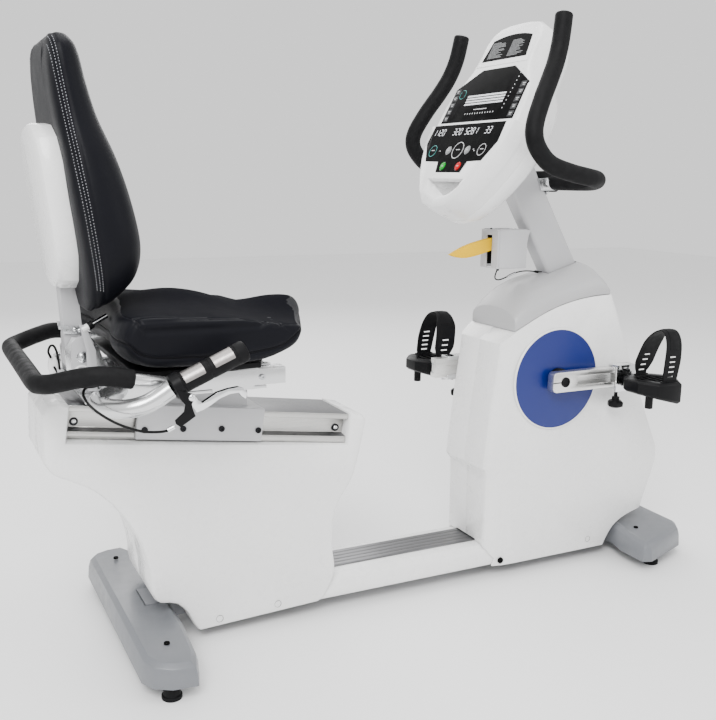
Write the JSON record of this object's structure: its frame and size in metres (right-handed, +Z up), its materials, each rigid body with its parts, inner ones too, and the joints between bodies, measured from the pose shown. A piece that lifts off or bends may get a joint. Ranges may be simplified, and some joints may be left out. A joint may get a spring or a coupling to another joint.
{
  "type": "recumbent exercise bike",
  "caption": "Step-through recumbent exercise bike with a sliding seat, reclining back, console mast, handlebar and strapped pedals",
  "frame": {"origin": "on the floor, under the middle of the bounding box", "axes": "+X forwards from the seat to the console, +Y to the rider's left, +Z up"},
  "size_m": [1.6642, 0.641, 1.3428],
  "materials": {
    "white": "glossy white moulding",
    "grey": "satin mid grey moulding",
    "pale": "satin light grey moulding",
    "pale_paint": "satin light grey powder coat",
    "steel": "silver finish",
    "aluminium": "brushed",
    "frame": "satin grey paint",
    "black": "satin black",
    "rubber": "matt black",
    "foam": "matt black foam",
    "vinyl": "soft sheen black vinyl",
    "blue": "deep blue gloss",
    "yellow": "yellow gloss",
    "green": "green",
    "red": "red",
    "iron": "dark grey cast iron",
    "sheath": "black cable sheath"
  },
  "bodies": {
    "chassis": {"main_frame": "frame", "beam_cover": "white", "beam_tread": "aluminium", "rear_foot_cover": "grey", "front_foot_cover": "grey", "seat_rail": "aluminium", "rear_shroud_right": "white", "rear_shroud_left": "white", "front_shroud_right": "white", "front_shroud_left": "white", "mast_cowl": "pale", "console_mast": "pale_paint", "console_face": "white", "console_back": "white", "handlebar": "steel", "handlebar_grip_right": "foam", "handlebar_grip_left": "foam", "lever_box": "pale_paint", "lock_cable": "sheath", "drive_belt": "rubber"},
    "leveler_rear_right": {"leveler_rear_right": "rubber"},
    "leveler_rear_left": {"leveler_rear_left": "rubber"},
    "leveler_front_right": {"leveler_front_right": "rubber"},
    "leveler_front_left": {"leveler_front_left": "rubber"},
    "crank": {"crank_axle": "steel", "drive_pulley": "black", "crank_disc_right": "blue", "crank_disc_left": "blue", "crank_arm_right": "aluminium", "crank_arm_left": "aluminium"},
    "flywheel": {"flywheel": "iron"},
    "slider_right": {"crank_slider_right": "aluminium"},
    "knob_right": {"slider_knob_right": "black"},
    "pedal_right": {"pedal_right": "black", "pedal_strap_right": "rubber"},
    "slider_left": {"crank_slider_left": "aluminium"},
    "knob_left": {"slider_knob_left": "black"},
    "pedal_left": {"pedal_left": "black", "pedal_strap_left": "rubber"},
    "lock_lever": {"lock_lever": "yellow"},
    "seat": {"seat_carriage": "pale_paint", "seat_frame": "steel", "seat_pan": "black", "seat_cushion": "vinyl", "rear_handle": "steel", "rear_handle_grip": "foam", "side_handle_right": "steel", "side_handle_left": "steel", "hand_grip_right": "rubber", "hand_grip_left": "rubber", "lever_bracket": "black", "seat_cable": "sheath"},
    "seat_lever": {"seat_lever": "aluminium"},
    "backrest": {"backrest_cushion": "vinyl", "backrest_panel": "white", "backrest_mast": "pale_paint"},
    "start_key": {"start_key": "green"},
    "stop_key": {"stop_key": "red"},
    "level_up_key": {"level_up_key": "black"},
    "level_down_key": {"level_down_key": "black"}
  },
  "joints": [
    {"name": "leveler_rear_right_screw", "type": "slide", "parent": "chassis", "child": "leveler_rear_right", "axis": [0, 0, -1], "range_m": [0, 0.012]},
    {"name": "leveler_rear_left_screw", "type": "slide", "parent": "chassis", "child": "leveler_rear_left", "axis": [0, 0, -1], "range_m": [0, 0.012]},
    {"name": "leveler_front_right_screw", "type": "slide", "parent": "chassis", "child": "leveler_front_right", "axis": [0, 0, -1], "range_m": [0, 0.012]},
    {"name": "leveler_front_left_screw", "type": "slide", "parent": "chassis", "child": "leveler_front_left", "axis": [0, 0, -1], "range_m": [0, 0.012]},
    {"name": "crank_spin", "type": "hinge", "parent": "chassis", "child": "crank", "pos_m": [0.4223, 0, 0.499], "axis": [0, 1, 0], "continuous": true},
    {"name": "flywheel_spin", "type": "hinge", "parent": "chassis", "child": "flywheel", "pos_m": [0.5793, 0, 0.258], "axis": [0, 1, 0], "continuous": true},
    {"name": "crank_length_right", "type": "slide", "parent": "crank", "child": "slider_right", "axis": [1, 0, 0], "range_m": [-0.06, 0.005]},
    {"name": "knob_turn_right", "type": "hinge", "parent": "slider_right", "child": "knob_right", "pos_m": [0.5923, -0.1315, 0.45], "axis": [0, 0, 1], "range_deg": [0, 360]},
    {"name": "pedal_spin_right", "type": "hinge", "parent": "slider_right", "child": "pedal_right", "pos_m": [0.6223, -0.2, 0.487], "axis": [0, 1, 0], "continuous": true},
    {"name": "crank_length_left", "type": "slide", "parent": "crank", "child": "slider_left", "axis": [-1, 0, 0], "range_m": [-0.025, 0.04]},
    {"name": "knob_turn_left", "type": "hinge", "parent": "slider_left", "child": "knob_left", "pos_m": [0.2873, 0.1315, 0.45], "axis": [0, 0, 1], "range_deg": [0, 360]},
    {"name": "pedal_spin_left", "type": "hinge", "parent": "slider_left", "child": "pedal_left", "pos_m": [0.2573, 0.2, 0.487], "axis": [0, 1, 0], "continuous": true},
    {"name": "lock_lever_pull", "type": "hinge", "parent": "chassis", "child": "lock_lever", "pos_m": [0.3313, 0, 0.815], "axis": [0, -1, 0], "range_deg": [0, 25], "stiffness_Nm_per_rad": 2},
    {"name": "seat_slide", "type": "slide", "parent": "chassis", "child": "seat", "axis": [0.9917, 0, -0.1288], "range_m": [-0.1, 0.15]},
    {"name": "seat_lever_squeeze", "type": "hinge", "parent": "seat", "child": "seat_lever", "pos_m": [-0.5677, -0.311, 0.592], "axis": [0, -1, 0], "range_deg": [0, 15], "stiffness_Nm_per_rad": 1},
    {"name": "backrest_recline", "type": "hinge", "parent": "seat", "child": "backrest", "pos_m": [-0.7047, 0, 0.625], "axis": [0, -1, 0], "range_deg": [0, 25]},
    {"name": "start_key_press", "type": "slide", "parent": "chassis", "child": "start_key", "axis": [0.8886, 0, -0.4587], "range_m": [0, 0.001], "stiffness_N_per_m": 600},
    {"name": "stop_key_press", "type": "slide", "parent": "chassis", "child": "stop_key", "axis": [0.8886, 0, -0.4587], "range_m": [0, 0.001], "stiffness_N_per_m": 600},
    {"name": "level_up_key_press", "type": "slide", "parent": "chassis", "child": "level_up_key", "axis": [0.8886, 0, -0.4587], "range_m": [0, 0.001], "stiffness_N_per_m": 600},
    {"name": "level_down_key_press", "type": "slide", "parent": "chassis", "child": "level_down_key", "axis": [0.8886, 0, -0.4587], "range_m": [0, 0.001], "stiffness_N_per_m": 600}
  ],
  "couplings": [
    {"joint": "flywheel_spin", "follows": "crank_spin", "ratio": 4.7727}
  ]
}
